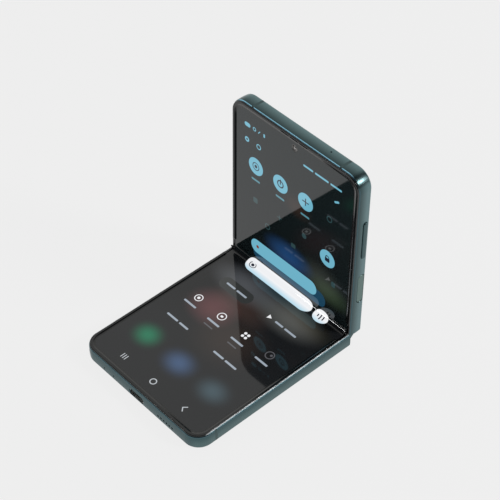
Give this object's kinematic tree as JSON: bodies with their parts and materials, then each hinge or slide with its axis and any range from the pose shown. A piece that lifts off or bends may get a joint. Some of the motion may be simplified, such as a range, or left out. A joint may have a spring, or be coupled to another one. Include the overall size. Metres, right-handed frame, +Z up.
{
  "type": "foldable smartphone",
  "caption": "Clamshell folding phone, part open on a geared hinge, with a bending display, press keys and a slide-out SIM tray.",
  "frame": {"origin": "centre of the lower half's outer back face, on which the phone rests", "axes": "+X runs along the fold towards the side with the keys, -Y points from the fold to the end with the USB port, +Z is up, away from the surface"},
  "size_m": [0.0723, 0.0925, 0.0886],
  "materials": {
    "frame_enamel": "satin teal-grey anodised look on aluminium",
    "antenna_band": "moulded band in the frame's colour",
    "key_finish": "satin, a little lighter than the frame",
    "back_glass": "frosted painted glass",
    "black_glass": "glossy black glass",
    "display": "glossy flexible display with a lit picture",
    "cover_panel": "dark display panel",
    "rim_elastomer": "fine satin black",
    "stainless": "bare stainless steel",
    "hinge_steel": "ground steel",
    "gear_steel": "sintered steel with a straw tint",
    "screw_steel": "plated screws",
    "battery_foil": "black pouch foil",
    "coil_copper": "lacquered copper",
    "board_laminate": "solder-masked laminate",
    "black_moulding": "moulded black housing",
    "brush_pile": "short black pile",
    "flex_film": "amber film cable",
    "flash_lens": "frosted lens"
  },
  "bodies": {
    "lower_half": {"lower_frame": "frame_enamel", "lower_antenna_bands": "antenna_band", "lower_back_glass": "back_glass", "lower_display_rim": "rim_elastomer", "lower_support_plate": "stainless", "lower_display": "display", "lower_battery": "battery_foil", "charging_coil": "coil_copper", "sub_board": "board_laminate", "usb_receptacle": "stainless", "loudspeaker": "black_moulding", "speaker_mesh": "stainless", "bottom_microphone": "stainless", "haptic_motor": "stainless", "lower_hinge_arms": "hinge_steel", "lower_hinge_shafts": "hinge_steel", "lower_sync_gears": "gear_steel", "lower_screws": "screw_steel", "lower_hinge_brush": "brush_pile"},
    "spine": {"spine_cover": "frame_enamel", "hinge_blocks": "hinge_steel", "spine_screws": "screw_steel", "friction_discs": "hinge_steel", "crease_end_caps": "rim_elastomer", "display_fold": "display", "hinge_flex": "flex_film"},
    "lower_idler": {"lower_idler_gears": "gear_steel"},
    "upper_idler": {"upper_idler_gears": "gear_steel"},
    "upper_half": {"upper_frame": "frame_enamel", "upper_antenna_bands": "antenna_band", "upper_back_glass": "black_glass", "cover_display": "cover_panel", "upper_display_rim": "rim_elastomer", "upper_support_plate": "stainless", "upper_display": "display", "upper_battery": "battery_foil", "main_board": "board_laminate", "board_shields": "stainless", "rear_cameras": "black_moulding", "camera_rings": "frame_enamel", "camera_windows": "black_glass", "flash_led": "flash_lens", "front_camera": "stainless", "earpiece": "black_moulding", "earpiece_mesh": "stainless", "top_microphone": "stainless", "upper_hinge_arms": "hinge_steel", "upper_hinge_shafts": "hinge_steel", "upper_sync_gears": "gear_steel", "upper_screws": "screw_steel", "upper_hinge_brush": "brush_pile", "sim_socket": "stainless", "key_switches": "stainless"},
    "side_key": {"side_key_cap": "key_finish"},
    "volume_key": {"volume_key_cap": "frame_enamel"},
    "sim_tray": {"sim_tray": "frame_enamel"}
  },
  "joints": [
    {"name": "fold_lower", "type": "hinge", "parent": "lower_half", "child": "spine", "pos_m": [0, 0.03918, 0.00535], "axis": [1, 0, 0], "range_deg": [-44, 46], "deforming": ["display_fold", "hinge_flex"]},
    {"name": "fold_upper", "type": "hinge", "parent": "spine", "child": "upper_half", "pos_m": [0, 0.0422, 0.00827], "axis": [1, 0, 0], "range_deg": [-44, 46]},
    {"name": "lower_idler_spin", "type": "hinge", "parent": "spine", "child": "lower_idler", "pos_m": [0, 0.04191, 0.00411], "axis": [1, 0, 0], "range_deg": [-92, 92]},
    {"name": "upper_idler_spin", "type": "hinge", "parent": "spine", "child": "upper_idler", "pos_m": [0, 0.04334, 0.0055], "axis": [1, 0, 0], "range_deg": [-92, 92]},
    {"name": "side_key_press", "type": "slide", "parent": "upper_half", "child": "side_key", "axis": [-1, 0, 0], "range_m": [0, 0.00025], "stiffness_N_per_m": 2000},
    {"name": "volume_rock", "type": "hinge", "parent": "upper_half", "child": "volume_key", "pos_m": [0.0343, 0.04673, 0.05649], "axis": [0, 0.9994, -0.0349], "range_deg": [-1.2, 1.2], "stiffness_Nm_per_rad": 0.7},
    {"name": "sim_tray_slide", "type": "slide", "parent": "upper_half", "child": "sim_tray", "axis": [-1, 0, 0], "range_m": [0, 0.016]}
  ],
  "couplings": [
    {"joint": "fold_upper", "follows": "fold_lower", "ratio": 1},
    {"joint": "lower_idler_spin", "follows": "fold_lower", "ratio": 2},
    {"joint": "upper_idler_spin", "follows": "fold_lower", "ratio": -2}
  ]
}
